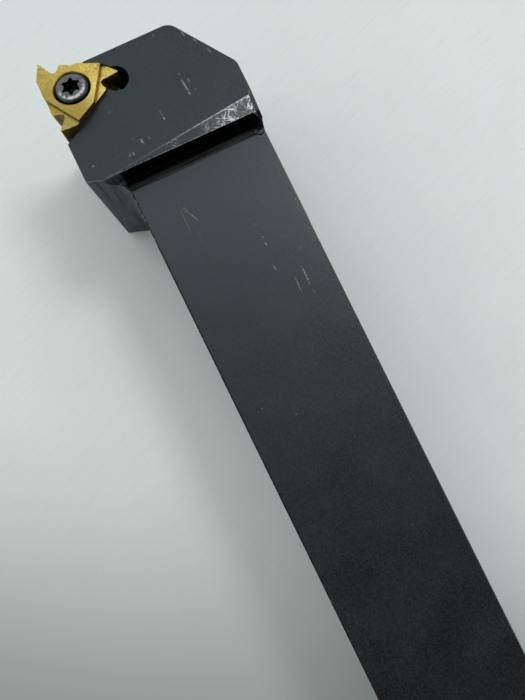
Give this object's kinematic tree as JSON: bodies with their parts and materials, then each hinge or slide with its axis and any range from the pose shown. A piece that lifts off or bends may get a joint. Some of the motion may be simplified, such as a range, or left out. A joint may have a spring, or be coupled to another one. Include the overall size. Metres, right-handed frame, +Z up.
{
  "type": "threading turning tool holder",
  "caption": "Square-shank lathe tool holder with a raised, offset head whose pitched pocket holds a three-cornered external threading insert under a countersunk clamp screw.",
  "frame": {"origin": "on the shank's flat bottom face, on its centreline, half-way along the tool's overall length", "axes": "+X along the shank towards the cutting head, +Y towards the side that carries the insert, +Z up from the seat face"},
  "size_m": [0.15, 0.0308, 0.03],
  "materials": {
    "blackened_steel": "black oxide, satin, rubbed at the edges",
    "carbide": "ground cemented carbide",
    "coated_carbide": "gold nitride coat, satin",
    "screw_steel": "satin grey steel"
  },
  "bodies": {
    "root": {"holder_body": "blackened_steel", "anvil": "carbide", "anvil_screw": "screw_steel", "threading_insert": "coated_carbide", "insert_screw": "screw_steel"}
  },
  "joints": []
}
